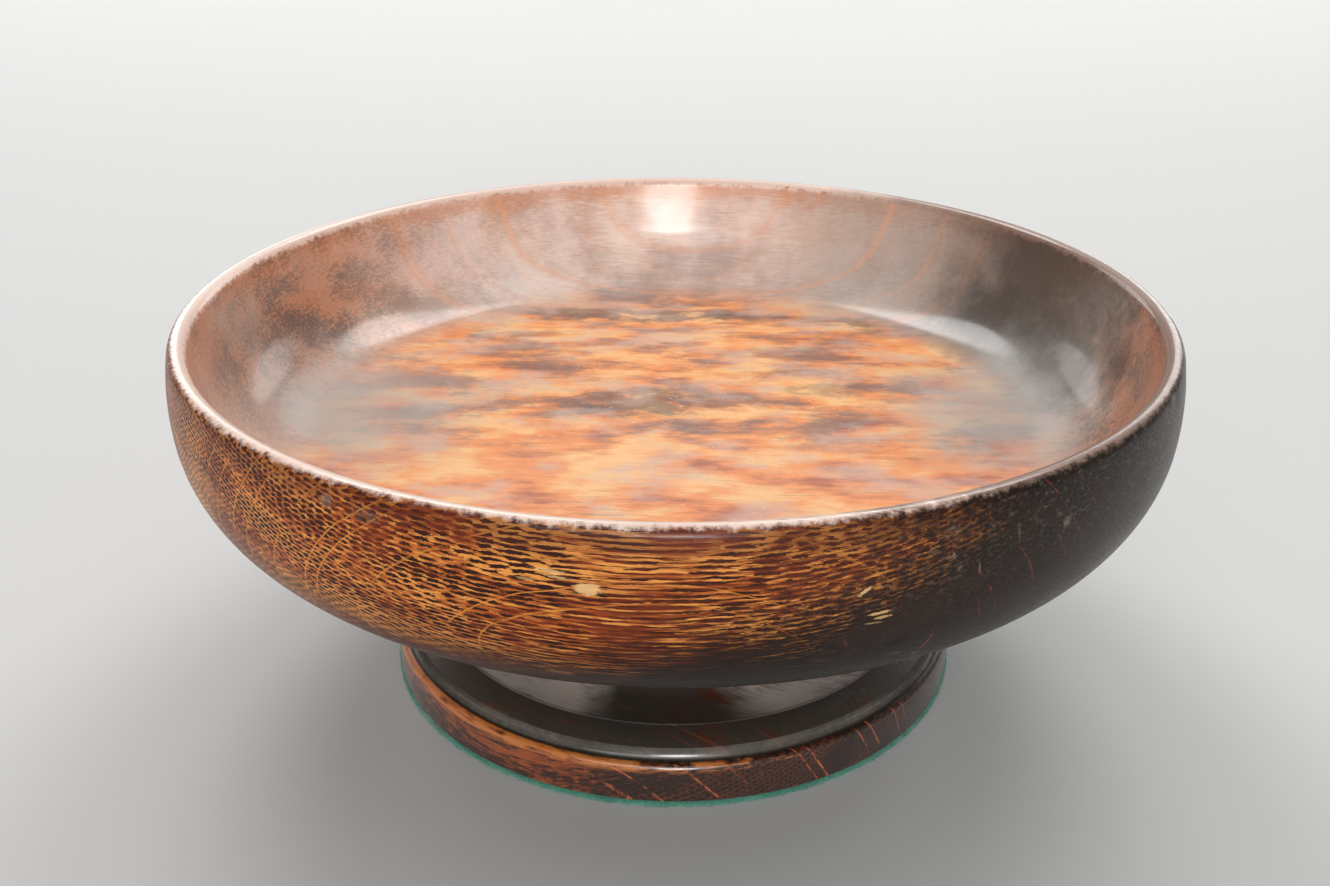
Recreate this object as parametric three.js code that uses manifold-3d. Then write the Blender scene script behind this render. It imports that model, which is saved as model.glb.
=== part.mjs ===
// A turned oak bowl on a pedestal foot, 300 mm across.
// Units are millimetres and +Z is up. The origin is at the middle of the baize, on the table.

import * as THREE from 'three';
import { mergeVertices } from 'three/addons/utils/BufferGeometryUtils.js';
import Module from 'manifold-3d';

// Bowl
const BOWL_DIAMETER = 300;
const BOWL_HEIGHT = 71.7;
const WIDEST_BELOW_RIM = 16;
const RIM_THICKNESS = 5.5;
const WALL_RADIUS = 70; // curve of the outside wall, seen in section
const WALL_TURN = 5.8; // degrees that the wall curves below its widest point
const TURN_RADIUS = 38; // curve where the wall turns under
const TURN_END = 60.5; // degrees from upright where the turn gives way to the underside
const SEAT_MARGIN = 6.5; // level ring of the underside outside the foot's top
const BASE_THICKNESS = 31.2;
const INSIDE_SLOPE = 14; // degrees of the inside wall from upright
const COVE_RADIUS = 30; // between the inside wall and the floor

// Foot
const FOOT_DIAMETER = 183;
const FOOT_HEIGHT = 46.9;
const EDGE_HEIGHT = 12.6;
const EDGE_ROUNDING = 2;
const BOTTOM_CHAMFER = 0.5;
const QUIRK_WIDTH = 1.2; // groove between the edge and the step
const QUIRK_DEPTH = 0.9;
const STEP_WIDTH = 1.8;
const STEP_RISE = 3.3;
const BAND_WIDTH = 8.4;
const BAND_RISE = 1.6;
const BAND_CROWN = 0.4;
const LINE_WIDTH = 0.8; // fine line inside the band
const LINE_DEPTH = 0.4;
const HOLLOW_FALL = 2; // from the band down to the lowest ring of the hollow
const HOLLOW_FALL_WIDTH = 15.3;
const WAIST_DIAMETER = 92;
const WAIST_BELOW_TOP = 6.4;
const TOP_FLARE = 4;

// Baize
const BAIZE_THICKNESS = 1.5;
const BAIZE_OVERHANG = 0.3;

// Dowel and screws
const DOWEL_DIAMETER = 12;
const DOWEL_LENGTH = 28;
const DOWEL_CHAMFER = 1;
const SCREW_COUNT = 4;
const SCREW_CIRCLE = 60;
const SCREW_COVER = 14.4; // wood left between the screw's point and the bowl's floor
const SCREW_HEAD_DIAMETER = 9.2;
const SCREW_HEAD_LAND = 0.4; // the head's straight edge
const SCREW_HEAD_DEPTH = 2.9;
const SCREW_SHANK_DIAMETER = 4.8;
const SCREW_SHANK_LENGTH = 26;
const SCREW_CORE_DIAMETER = 3.6;
const SCREW_POINT_LENGTH = 6;
const SCREW_SLOT_WIDTH = 1.2;
const SCREW_SLOT_DEPTH = 1.3;
const SCREW_SINK = 0.3; // head below the foot's underside

// Clearances
const GLUE_LINE = 0.1;
const HOLE_CLEARANCE = 0.1; // round the dowel and the screws
const END_CLEARANCE = 1; // past the ends of the dowel and the screws
const CUT_PAST = 1; // how far a cutting shape stands past the face that it cuts

// Facets
const BOWL_FACETS = 80;
const FOOT_FACETS = 60;
const DOWEL_FACETS = 24;
const SCREW_FACETS = 20;

const footBottom = BAIZE_THICKNESS + GLUE_LINE;
const footTop = footBottom + FOOT_HEIGHT;
const bowlBottom = footTop + GLUE_LINE;
const footTopRadius = WAIST_DIAMETER / 2 + TOP_FLARE;
const screwLength = bowlBottom + BASE_THICKNESS - SCREW_COVER - footBottom - SCREW_SINK;

const oak = { color: 0x5a2a12, roughness: 0.32, metalness: 0 };
const darkOak = { color: 0x40200f, roughness: 0.28, metalness: 0 };
const beech = { color: 0xb98a5a, roughness: 0.7, metalness: 0 };
const baizeCloth = { color: 0x2f7a60, roughness: 1, metalness: 0 };
const steel = { color: 0x8d8a84, roughness: 0.45, metalness: 1 };

const wasm = await Module();
wasm.setup();

// Outlines
// An outline is a list of points (distance from the axis, height).

function point(radius, height) {
  return new THREE.Vector2(radius, height);
}

// Points along a round stretch, in degrees anticlockwise from pointing away from the axis.
// rise is the upright half-width of an ellipse, and is the radius on a circle.
function arc(centre, radius, fromDegrees, toDegrees, steps, rise = radius) {
  const points = [];
  for (let step = 0; step <= steps; step += 1) {
    const angle = THREE.MathUtils.degToRad(fromDegrees + ((toDegrees - fromDegrees) * step) / steps);
    points.push(point(centre.x + radius * Math.cos(angle), centre.y + rise * Math.sin(angle)));
  }
  return points;
}

// The bowl's underside, outside wall, rim, inside wall and floor, from the axis round to the axis.
function bowlOutline() {
  const widest = BOWL_DIAMETER / 2;
  const turnStart = THREE.MathUtils.degToRad(WALL_TURN);
  const wallCentre = point(widest - WALL_RADIUS, BOWL_HEIGHT - WIDEST_BELOW_RIM);
  const turnCentre = point(
    wallCentre.x + (WALL_RADIUS - TURN_RADIUS) * Math.cos(turnStart),
    wallCentre.y - (WALL_RADIUS - TURN_RADIUS) * Math.sin(turnStart),
  );
  const turn = arc(turnCentre, TURN_RADIUS, -TURN_END, -WALL_TURN, 8);
  // The underside leaves the turn smoothly and is level where it reaches the foot's seat.
  const undersideSlope = Math.tan(THREE.MathUtils.degToRad(90 - TURN_END));
  const underside = new THREE.QuadraticBezierCurve(
    point(footTopRadius + SEAT_MARGIN, 0),
    point(turn[0].x - turn[0].y / undersideSlope, 0),
    turn[0],
  );

  const rimRadius = RIM_THICKNESS / 2;
  const rimHeight = BOWL_HEIGHT - rimRadius;
  const rimReach = WALL_RADIUS - rimRadius;
  const rimRise = rimHeight - wallCentre.y;
  const rimCentre = point(wallCentre.x + Math.sqrt(rimReach ** 2 - rimRise ** 2), rimHeight);
  const rimStartDegrees = THREE.MathUtils.radToDeg(Math.asin(rimRise / rimReach));

  const slope = THREE.MathUtils.degToRad(INSIDE_SLOPE);
  const insideTop = point(
    rimCentre.x - rimRadius * Math.cos(slope),
    rimCentre.y + rimRadius * Math.sin(slope),
  );
  const deepestCove = (insideTop.y - BASE_THICKNESS) / (1 - Math.sin(slope));
  const coveRadius = Math.min(COVE_RADIUS, deepestCove);
  const coveCentreHeight = BASE_THICKNESS + coveRadius;
  const coveStartHeight = coveCentreHeight - coveRadius * Math.sin(slope);
  const coveStart = insideTop.x - (insideTop.y - coveStartHeight) * Math.tan(slope);
  const coveCentre = point(coveStart - coveRadius * Math.cos(slope), coveCentreHeight);

  return [
    point(0, 0),
    ...underside.getPoints(6),
    ...turn.slice(1),
    ...arc(wallCentre, WALL_RADIUS, -WALL_TURN, 0, 2).slice(1),
    ...arc(wallCentre, WALL_RADIUS, 0, rimStartDegrees, 3).slice(1),
    ...arc(rimCentre, rimRadius, rimStartDegrees, 180 - INSIDE_SLOPE, 8).slice(1),
    ...arc(coveCentre, coveRadius, -INSIDE_SLOPE, -90, 8),
    point(0, BASE_THICKNESS),
  ];
}

// The foot's underside, edge, quirk, step, crowned band, fine line, hollow and top.
function footOutline() {
  const edge = FOOT_DIAMETER / 2;
  const edgeCorner = edge - EDGE_ROUNDING;
  const quirkBottom = EDGE_HEIGHT - QUIRK_DEPTH;
  const stepFoot = edgeCorner - QUIRK_WIDTH;
  const stepTop = stepFoot - STEP_WIDTH;
  const bandStart = quirkBottom + STEP_RISE;
  const bandEnd = stepTop - BAND_WIDTH;
  const bandTop = bandStart + BAND_RISE;
  const bandMiddle = point((stepTop + bandEnd) / 2, (bandStart + bandTop) / 2 + BAND_CROWN);
  const hollowStart = bandEnd - LINE_WIDTH;
  const waist = WAIST_DIAMETER / 2;
  const waistHeight = FOOT_HEIGHT - WAIST_BELOW_TOP;
  // The hollow falls a little inside the band before it climbs to the waist.
  const fallWidth = Math.min(HOLLOW_FALL_WIDTH, (hollowStart - waist) / 2);
  const lowest = point(hollowStart - fallWidth, bandTop - HOLLOW_FALL);
  const fall = new THREE.QuadraticBezierCurve(
    point(hollowStart, bandTop),
    point(hollowStart - fallWidth / 2, lowest.y),
    lowest,
  );
  const climb = waistHeight - lowest.y;

  return [
    point(0, 0),
    point(edge - BOTTOM_CHAMFER, 0),
    point(edge, BOTTOM_CHAMFER),
    ...arc(point(edgeCorner, EDGE_HEIGHT - EDGE_ROUNDING), EDGE_ROUNDING, 0, 90, 5),
    point(edgeCorner - QUIRK_WIDTH / 2, quirkBottom),
    ...arc(point(stepFoot, bandStart), STEP_WIDTH, -90, -180, 4, STEP_RISE),
    bandMiddle,
    point(bandEnd, bandTop),
    point(bandEnd - LINE_WIDTH / 2, bandTop - LINE_DEPTH),
    ...fall.getPoints(4),
    ...arc(point(lowest.x, waistHeight), lowest.x - waist, -90, -180, 8, climb).slice(1),
    ...arc(point(footTopRadius, waistHeight), TOP_FLARE, 180, 90, 4, WAIST_BELOW_TOP).slice(1),
    point(0, FOOT_HEIGHT),
  ];
}

// Head down, point up. grow widens the screw into the hole that takes it.
function screwOutline(grow = 0, past = 0) {
  const head = SCREW_HEAD_DIAMETER / 2 + grow;
  const shank = SCREW_SHANK_DIAMETER / 2 + grow;
  const core = SCREW_CORE_DIAMETER / 2 + grow;
  const tip = screwLength + (grow > 0 ? END_CLEARANCE : 0);
  return [
    point(0, -past),
    point(head, -past),
    point(head, SCREW_HEAD_LAND + grow),
    point(shank, SCREW_HEAD_DEPTH + grow),
    point(shank, SCREW_SHANK_LENGTH + grow),
    point(core, SCREW_SHANK_LENGTH + grow + (SCREW_SHANK_DIAMETER - SCREW_CORE_DIAMETER) / 2),
    point(core, tip - SCREW_POINT_LENGTH),
    point(0, tip),
  ];
}

// Solids

function turned(outline, facets) {
  const geometry = new THREE.LatheGeometry(outline, facets);
  geometry.rotateX(Math.PI / 2);
  return geometry;
}

function toSolid(geometry) {
  const bare = geometry.clone();
  bare.deleteAttribute('normal');
  bare.deleteAttribute('uv');
  const merged = mergeVertices(bare, 1e-5);
  const vertProperties = new Float32Array(merged.attributes.position.array);
  const triVerts = new Uint32Array(merged.index.array);
  return new wasm.Manifold(new wasm.Mesh({ numProp: 3, vertProperties, triVerts }));
}

function toGeometry(solid) {
  const mesh = solid.getMesh();
  const geometry = new THREE.BufferGeometry();
  geometry.setAttribute('position', new THREE.BufferAttribute(mesh.vertProperties, 3));
  geometry.setIndex(new THREE.BufferAttribute(mesh.triVerts, 1));
  geometry.computeVertexNormals();
  return geometry;
}

function cut(geometry, tools) {
  let solid = toSolid(geometry);
  for (const tool of tools) {
    solid = solid.subtract(toSolid(tool));
  }
  return toGeometry(solid);
}

// Places of the screws, halfway between the grain's direction and square to it.
function screwPlaces() {
  const places = [];
  for (let index = 0; index < SCREW_COUNT; index += 1) {
    const angle = (2 * Math.PI * (index + 0.5)) / SCREW_COUNT;
    places.push(
      new THREE.Vector3(
        (SCREW_CIRCLE / 2) * Math.cos(angle),
        (SCREW_CIRCLE / 2) * Math.sin(angle),
        footBottom + SCREW_SINK,
      ),
    );
  }
  return places;
}

// The holes for the dowel and the screws, as cutting shapes in place.
function holes() {
  const dowelHoleLength = DOWEL_LENGTH + 2 * END_CLEARANCE;
  const dowelHoleRadius = DOWEL_DIAMETER / 2 + HOLE_CLEARANCE;
  const dowelHole = new THREE.CylinderGeometry(
    dowelHoleRadius,
    dowelHoleRadius,
    dowelHoleLength,
    DOWEL_FACETS,
  );
  dowelHole.rotateX(Math.PI / 2);
  dowelHole.translate(0, 0, footTop + GLUE_LINE / 2);
  const tools = [dowelHole];
  for (const place of screwPlaces()) {
    const hole = turned(screwOutline(HOLE_CLEARANCE, SCREW_SINK + CUT_PAST), SCREW_FACETS);
    hole.translate(place.x, place.y, place.z);
    tools.push(hole);
  }
  return tools;
}

function bowlGeometry() {
  const blank = turned(bowlOutline(), BOWL_FACETS);
  blank.translate(0, 0, bowlBottom);
  return cut(blank, holes());
}

function footGeometry() {
  const blank = turned(footOutline(), FOOT_FACETS);
  blank.translate(0, 0, footBottom);
  return cut(blank, holes());
}

function baizeGeometry() {
  const radius = FOOT_DIAMETER / 2 + BAIZE_OVERHANG;
  const disc = new THREE.CylinderGeometry(radius, radius, BAIZE_THICKNESS, FOOT_FACETS);
  disc.rotateX(Math.PI / 2);
  disc.translate(0, 0, BAIZE_THICKNESS / 2);
  return disc;
}

function dowelGeometry() {
  const radius = DOWEL_DIAMETER / 2;
  const half = DOWEL_LENGTH / 2;
  const outline = [
    point(0, -half),
    point(radius - DOWEL_CHAMFER, -half),
    point(radius, DOWEL_CHAMFER - half),
    point(radius, half - DOWEL_CHAMFER),
    point(radius - DOWEL_CHAMFER, half),
    point(0, half),
  ];
  return turned(outline, DOWEL_FACETS);
}

function screwGeometry() {
  const slot = new THREE.BoxGeometry(
    SCREW_HEAD_DIAMETER + 2 * CUT_PAST,
    SCREW_SLOT_WIDTH,
    SCREW_SLOT_DEPTH + CUT_PAST,
  );
  slot.translate(0, 0, (SCREW_SLOT_DEPTH - CUT_PAST) / 2);
  return cut(turned(screwOutline(), SCREW_FACETS), [slot]);
}

function piece(name, geometry, finish) {
  const mesh = new THREE.Mesh(geometry, new THREE.MeshStandardMaterial(finish));
  mesh.name = name;
  return mesh;
}

const footedBowl = new THREE.Group();
footedBowl.add(piece('baize_pad', baizeGeometry(), baizeCloth));
footedBowl.add(piece('foot', footGeometry(), darkOak));
footedBowl.add(piece('bowl', bowlGeometry(), oak));

const dowel = piece('centring_dowel', dowelGeometry(), beech);
dowel.position.set(0, 0, footTop + GLUE_LINE / 2);
footedBowl.add(dowel);

screwPlaces().forEach((place, index) => {
  const screw = piece(`foot_screw_${index + 1}`, screwGeometry(), steel);
  screw.position.copy(place);
  footedBowl.add(screw);
});

export default footedBowl;
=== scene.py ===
"""A turned oak bowl on a pedestal foot, in a plain pale studio.

Named sizes are in millimetres and the scene is in metres. +Z is up, and the origin is at the middle
of the baize, on the table. Directions round the bowl are in degrees from the front, with the right
as 90.
"""

import math

import bmesh
import bpy
import numpy as np
from mathutils import Matrix, Vector


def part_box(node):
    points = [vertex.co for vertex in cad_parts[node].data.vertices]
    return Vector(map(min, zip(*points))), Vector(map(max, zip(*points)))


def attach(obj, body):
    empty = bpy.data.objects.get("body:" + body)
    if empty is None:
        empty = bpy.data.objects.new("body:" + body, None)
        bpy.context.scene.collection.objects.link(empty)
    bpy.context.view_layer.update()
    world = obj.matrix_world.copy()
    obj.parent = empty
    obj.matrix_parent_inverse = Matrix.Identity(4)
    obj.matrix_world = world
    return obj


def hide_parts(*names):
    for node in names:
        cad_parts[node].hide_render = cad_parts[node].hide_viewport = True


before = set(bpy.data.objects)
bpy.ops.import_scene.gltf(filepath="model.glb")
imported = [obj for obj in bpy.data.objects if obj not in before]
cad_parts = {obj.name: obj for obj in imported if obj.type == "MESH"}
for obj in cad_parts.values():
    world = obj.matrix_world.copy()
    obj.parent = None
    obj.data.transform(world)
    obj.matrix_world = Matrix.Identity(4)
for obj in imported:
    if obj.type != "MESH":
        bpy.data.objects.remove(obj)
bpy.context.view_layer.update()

MM = 0.001
RANDOM_SEED = 11

# Bowl section, as the frame's bowl is turned
WIDEST_BELOW_RIM = 16
RIM_THICKNESS = 5.5
WALL_RADIUS = 70
WALL_TURN = 5.8
TURN_RADIUS = 38
TURN_END = 60.5
SEAT_MARGIN = 6.5
BASE_THICKNESS = 31.2
INSIDE_SLOPE = 14
COVE_RADIUS = 30

# Foot section, as the frame's foot is turned
EDGE_HEIGHT = 12.6
EDGE_ROUNDING = 2
BOTTOM_CHAMFER = 0.5
QUIRK_WIDTH = 1.2
QUIRK_DEPTH = 0.9
STEP_WIDTH = 1.8
STEP_RISE = 3.3
BAND_WIDTH = 8.4
BAND_RISE = 1.6
BAND_CROWN = 0.4
LINE_WIDTH = 0.8
LINE_DEPTH = 0.4
HOLLOW_FALL = 2
HOLLOW_FALL_WIDTH = 15.3
WAIST_DIAMETER = 92
WAIST_BELOW_TOP = 6.4
TOP_FLARE = 4

# Holes for the dowel and the screws
HOLE_CLEARANCE = 0.1
END_CLEARANCE = 1
SCREW_HEAD_LAND = 0.4
SCREW_HEAD_DEPTH = 2.9
SCREW_SHANK_DIAMETER = 4.8
SCREW_SHANK_LENGTH = 26
SCREW_CORE_DIAMETER = 3.6
SCREW_POINT_LENGTH = 6
CUT_PAST = 2

# Fineness of the turned meshes
BOWL_SEGMENTS = 720
FOOT_SEGMENTS = 540
STEP_LENGTH = 1.1
FLAT_STEP_LENGTH = 4
HOLE_SEGMENTS = 32
SHARP_ANGLE = 40

# Dents and warping of the bowl, and the fluff round the baize
RIM_DENTS = 26
WALL_DENTS = 30
WALL_DENTS_DOWN = 40
DENTED_WALL_REACH = 16.5
DENT_WIDTH = (2, 5)
DENT_SLOPE = (0.02, 0.07)
WARP = 0.3
WARP_TURN = 20
WARP_DEPTH = 36
FLUFF_BLADES = 5200
FLUFF_LENGTH = (0.2, 0.8)
FLUFF_WIDTH = 0.12
FLUFF_DROOP = (-0.2, 0.4)
FLUFF_BEND_SHARE = 0.7

# How near the floor a ray starts that goes through it, so that the baize is lit from below
UNDERSIDE_LIGHT = 0.5

# Camera, fitted to the photograph
CAMERA_DISTANCE = 482.64
CAMERA_AIM = 1.8
CAMERA_ELEVATION = 32.49
CAMERA_PAN = -0.38
CAMERA_TILT = 7.47
CAMERA_ROLL = -0.43
FOCAL_PIXELS = 1400
PHOTO_WIDTH = 1330
SENSOR_WIDTH = 36
NEAREST_SEEN = 0.01


# Outlines: lists of (distance from the axis, height) in millimetres


def arc(centre, radius, start, end, rise=None):
    """Points along a round stretch, in degrees anticlockwise from pointing away from the axis."""
    rise = radius if rise is None else rise
    length = abs(math.radians(end - start)) * (radius + rise) / 2
    steps = max(6, math.ceil(length / STEP_LENGTH))
    points = []
    for step in range(steps + 1):
        angle = math.radians(start + (end - start) * step / steps)
        points.append((centre[0] + radius * math.cos(angle), centre[1] + rise * math.sin(angle)))
    return points


def curve(start, pull, end):
    """Points along a quadratic curve from start to end."""
    steps = max(6, math.ceil(math.dist(start, end) / STEP_LENGTH))
    points = []
    for step in range(steps + 1):
        t = step / steps
        weights = ((1 - t) ** 2, 2 * t * (1 - t), t ** 2)
        points.append(tuple(sum(w * p[axis] for w, p in zip(weights, (start, pull, end))) for axis in (0, 1)))
    return points


def filled(points, longest):
    """The same outline with points added where two lie further apart than longest."""
    out = [points[0]]
    for near, far in zip(points, points[1:]):
        steps = max(1, math.ceil(math.dist(near, far) / longest))
        for step in range(1, steps + 1):
            t = step / steps
            out.append((near[0] + (far[0] - near[0]) * t, near[1] + (far[1] - near[1]) * t))
    return out


def millimetres(node):
    low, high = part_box(node)
    return low / MM, high / MM


def bowl_outline():
    """The underside, outside wall, rim, inside wall and floor, from the axis round to the axis."""
    low, high = millimetres("bowl")
    widest, height = high.x, high.z - low.z
    foot_top = WAIST_DIAMETER / 2 + TOP_FLARE
    wall = (widest - WALL_RADIUS, height - WIDEST_BELOW_RIM)
    start = math.radians(WALL_TURN)
    reach = WALL_RADIUS - TURN_RADIUS
    turn_centre = (wall[0] + reach * math.cos(start), wall[1] - reach * math.sin(start))
    turn = arc(turn_centre, TURN_RADIUS, -TURN_END, -WALL_TURN)
    slope = math.tan(math.radians(90 - TURN_END))
    underside = curve((foot_top + SEAT_MARGIN, 0), (turn[0][0] - turn[0][1] / slope, 0), turn[0])

    rim = RIM_THICKNESS / 2
    rim_rise = height - rim - wall[1]
    rim_reach = WALL_RADIUS - rim
    rim_centre = (wall[0] + math.sqrt(rim_reach ** 2 - rim_rise ** 2), height - rim)
    rim_start = math.degrees(math.asin(rim_rise / rim_reach))
    inside = math.radians(INSIDE_SLOPE)
    top = (rim_centre[0] - rim * math.cos(inside), rim_centre[1] + rim * math.sin(inside))
    cove_height = BASE_THICKNESS + COVE_RADIUS
    cove_start_height = cove_height - COVE_RADIUS * math.sin(inside)
    cove_start = top[0] - (top[1] - cove_start_height) * math.tan(inside)
    cove_centre = (cove_start - COVE_RADIUS * math.cos(inside), cove_height)

    points = [(0, 0), *underside, *turn[1:]]
    points += arc(wall, WALL_RADIUS, -WALL_TURN, rim_start)[1:]
    points += arc(rim_centre, rim, rim_start, 180 - INSIDE_SLOPE)[1:]
    points += filled([points[-1], *arc(cove_centre, COVE_RADIUS, -INSIDE_SLOPE, -90)], STEP_LENGTH)[1:]
    points += [(0, BASE_THICKNESS)]
    return [(r, z + low.z) for r, z in filled(points, FLAT_STEP_LENGTH)]


def foot_outline():
    """The underside, edge, quirk, step, crowned band, fine line, hollow and top."""
    low, high = millimetres("foot")
    edge, height = high.x, high.z - low.z
    corner = edge - EDGE_ROUNDING
    quirk = EDGE_HEIGHT - QUIRK_DEPTH
    step_foot = corner - QUIRK_WIDTH
    step_top = step_foot - STEP_WIDTH
    band_start = quirk + STEP_RISE
    band_end = step_top - BAND_WIDTH
    band_top = band_start + BAND_RISE
    crown = ((step_top + band_end) / 2, (band_start + band_top) / 2 + 2 * BAND_CROWN)
    hollow = (band_end - LINE_WIDTH, band_top)
    lowest = (hollow[0] - HOLLOW_FALL_WIDTH, band_top - HOLLOW_FALL)
    waist = WAIST_DIAMETER / 2
    waist_height = height - WAIST_BELOW_TOP

    points = [(0, 0), (edge - BOTTOM_CHAMFER, 0), (edge, BOTTOM_CHAMFER)]
    points += arc((corner, EDGE_HEIGHT - EDGE_ROUNDING), EDGE_ROUNDING, 0, 90)
    points += [(corner - QUIRK_WIDTH / 2, quirk)]
    points += arc((step_foot, band_start), STEP_WIDTH, -90, -180, STEP_RISE)
    points += curve(points[-1], crown, (band_end, band_top))[1:]
    points += [(band_end - LINE_WIDTH / 2, band_top - LINE_DEPTH)]
    points += curve(hollow, (hollow[0] - HOLLOW_FALL_WIDTH / 2, lowest[1]), lowest)
    points += arc((lowest[0], waist_height), lowest[0] - waist, -90, -180, waist_height - lowest[1])[1:]
    points += arc((waist + TOP_FLARE, waist_height), TOP_FLARE, 180, 90, WAIST_BELOW_TOP)[1:]
    points += [(0, height)]
    return [(r, z + low.z) for r, z in filled(points, FLAT_STEP_LENGTH)]


# Meshes


def turned(name, outline, segments):
    """A mesh turned from an outline that starts and ends on the axis."""
    inner = np.array(outline[1:-1]) * MM
    angles = np.linspace(0, 2 * math.pi, segments, endpoint=False)
    ring = np.stack([np.sin(angles), -np.cos(angles)], axis=1)
    verts = np.empty((len(inner), segments, 3))
    verts[:, :, :2] = inner[:, None, :1] * ring[None]
    verts[:, :, 2] = inner[:, 1, None]
    ends = [(0, 0, outline[0][1] * MM), (0, 0, outline[-1][1] * MM)]
    points = [*map(tuple, verts.reshape(-1, 3)), *ends]
    first, last = len(points) - 2, len(points) - 1
    faces = []
    for column in range(segments):
        after = (column + 1) % segments
        faces.append((first, after, column))
        for row in range(len(inner) - 1):
            here, above = row * segments, (row + 1) * segments
            faces.append((here + column, here + after, above + after, above + column))
        top = (len(inner) - 1) * segments
        faces.append((last, top + column, top + after))
    mesh = bpy.data.meshes.new(name)
    mesh.from_pydata(points, [], faces)
    mesh.update()
    piece = bpy.data.objects.new(name, mesh)
    bpy.context.scene.collection.objects.link(piece)
    return piece


def smooth(piece):
    piece.data.shade_smooth()
    piece.data.set_sharp_from_angle(angle=math.radians(SHARP_ANGLE))


def screw_hole(node):
    """A shape that cuts the hole for one screw, from below its head to past its point."""
    low, high = millimetres(node)
    head = (high.x - low.x) / 2 + HOLE_CLEARANCE
    shank = SCREW_SHANK_DIAMETER / 2 + HOLE_CLEARANCE
    core = SCREW_CORE_DIAMETER / 2 + HOLE_CLEARANCE
    tip = high.z - low.z + END_CLEARANCE
    taper = SCREW_SHANK_LENGTH + (SCREW_SHANK_DIAMETER - SCREW_CORE_DIAMETER) / 2
    outline = [
        (0, -CUT_PAST),
        (head, -CUT_PAST),
        (head, SCREW_HEAD_LAND),
        (shank, SCREW_HEAD_DEPTH),
        (shank, SCREW_SHANK_LENGTH),
        (core, taper),
        (core, tip - SCREW_POINT_LENGTH),
        (0, tip),
    ]
    cutter = turned(node + "_hole", outline, HOLE_SEGMENTS)
    middle = (low + high) / 2
    cutter.location = (middle.x * MM, middle.y * MM, low.z * MM)
    return cutter


def dowel_hole():
    low, high = millimetres("centring_dowel")
    radius = (high.x - low.x) / 2 + HOLE_CLEARANCE
    bottom, top = low.z - END_CLEARANCE, high.z + END_CLEARANCE
    return turned("dowel_hole", [(0, bottom), (radius, bottom), (radius, top), (0, top)], HOLE_SEGMENTS)


def bore(piece):
    """Cuts the holes for the dowel and the screws out of a piece."""
    screws = [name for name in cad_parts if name.startswith("foot_screw_")]
    cutters = [dowel_hole(), *map(screw_hole, sorted(screws))]
    for cutter in cutters:
        cut = piece.modifiers.new(cutter.name, "BOOLEAN")
        cut.operation = "DIFFERENCE"
        cut.solver = "EXACT"
        cut.object = cutter
    bpy.context.view_layer.update()
    depsgraph = bpy.context.evaluated_depsgraph_get()
    bored = bpy.data.meshes.new_from_object(piece.evaluated_get(depsgraph))
    piece.modifiers.clear()
    piece.data = bored
    for cutter in cutters:
        bpy.data.objects.remove(cutter)


def shelve(piece, outline):
    """Stores how far each point lies along the outline from the rim, with the outside above nought."""
    points = np.array(outline)
    lengths = np.concatenate([[0], np.cumsum(np.linalg.norm(np.diff(points, axis=0), axis=1))])
    places = np.empty(len(piece.data.vertices) * 3)
    piece.data.vertices.foreach_get("co", places)
    places = places.reshape(-1, 3) / MM
    section = np.stack([np.hypot(places[:, 0], places[:, 1]), places[:, 2]], axis=1)
    best = np.full(len(section), np.inf)
    along = np.zeros(len(section))
    for near, far, start in zip(points, points[1:], lengths):
        stretch = far - near
        length = np.linalg.norm(stretch)
        share = np.clip((section - near) @ stretch / length ** 2, 0, 1)
        gap = np.linalg.norm(section - near - share[:, None] * stretch, axis=1)
        closer = gap < best
        best[closer] = gap[closer]
        along[closer] = start + share[closer] * length
    rim = lengths[np.argmax(points[:, 1])]
    layer = piece.data.attributes.new("from_rim", "FLOAT", "POINT")
    layer.data.foreach_set("value", (rim - along).astype(np.float32))


def wear(piece):
    """Shallow dents on the rim and the outside wall, and a wall that has warped a little inwards."""
    rng = np.random.default_rng(RANDOM_SEED)
    _, high = millimetres("bowl")
    places = np.empty(len(piece.data.vertices) * 3)
    piece.data.vertices.foreach_get("co", places)
    places = places.reshape(-1, 3) / MM
    normals = np.empty(len(piece.data.vertices) * 3)
    piece.data.vertices.foreach_get("normal", normals)
    normals = normals.reshape(-1, 3)
    shift = np.zeros_like(places)
    for number in range(RIM_DENTS + WALL_DENTS):
        turn = rng.uniform(-math.pi, math.pi)
        drops = (0, RIM_THICKNESS / 2) if number < RIM_DENTS else (RIM_THICKNESS, WALL_DENTS_DOWN)
        drop = rng.uniform(*drops)
        width = rng.uniform(*DENT_WIDTH)
        depth = width * rng.uniform(*DENT_SLOPE)
        level = high.z - drop
        near = np.abs(places[:, 2] - level) < width
        near &= np.hypot(places[:, 0], places[:, 1]) > high.x - DENTED_WALL_REACH
        outer = np.argmin(np.hypot(
            places[:, 2] - level,
            np.hypot(places[:, 0] - high.x * math.sin(turn), places[:, 1] + high.x * math.cos(turn)),
        ))
        gap = np.linalg.norm(places - places[outer], axis=1) / width
        fall = np.where(near & (gap < 1), (1 - np.minimum(gap, 1) ** 2) ** 2, 0)
        shift -= normals[outer] * (depth * fall)[:, None]
    turns = np.arctan2(places[:, 0], -places[:, 1])
    warp = WARP * (1 + np.cos(2 * (turns - math.radians(WARP_TURN)))) / 2
    rise = np.clip((places[:, 2] - high.z + WARP_DEPTH) / WARP_DEPTH, 0, 1) ** 2
    out = np.stack([np.sin(turns), -np.cos(turns), np.zeros_like(turns)], axis=1)
    shift -= out * (warp * rise)[:, None]
    piece.data.vertices.foreach_set("co", ((places + shift) * MM).ravel())
    piece.data.update()


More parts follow.
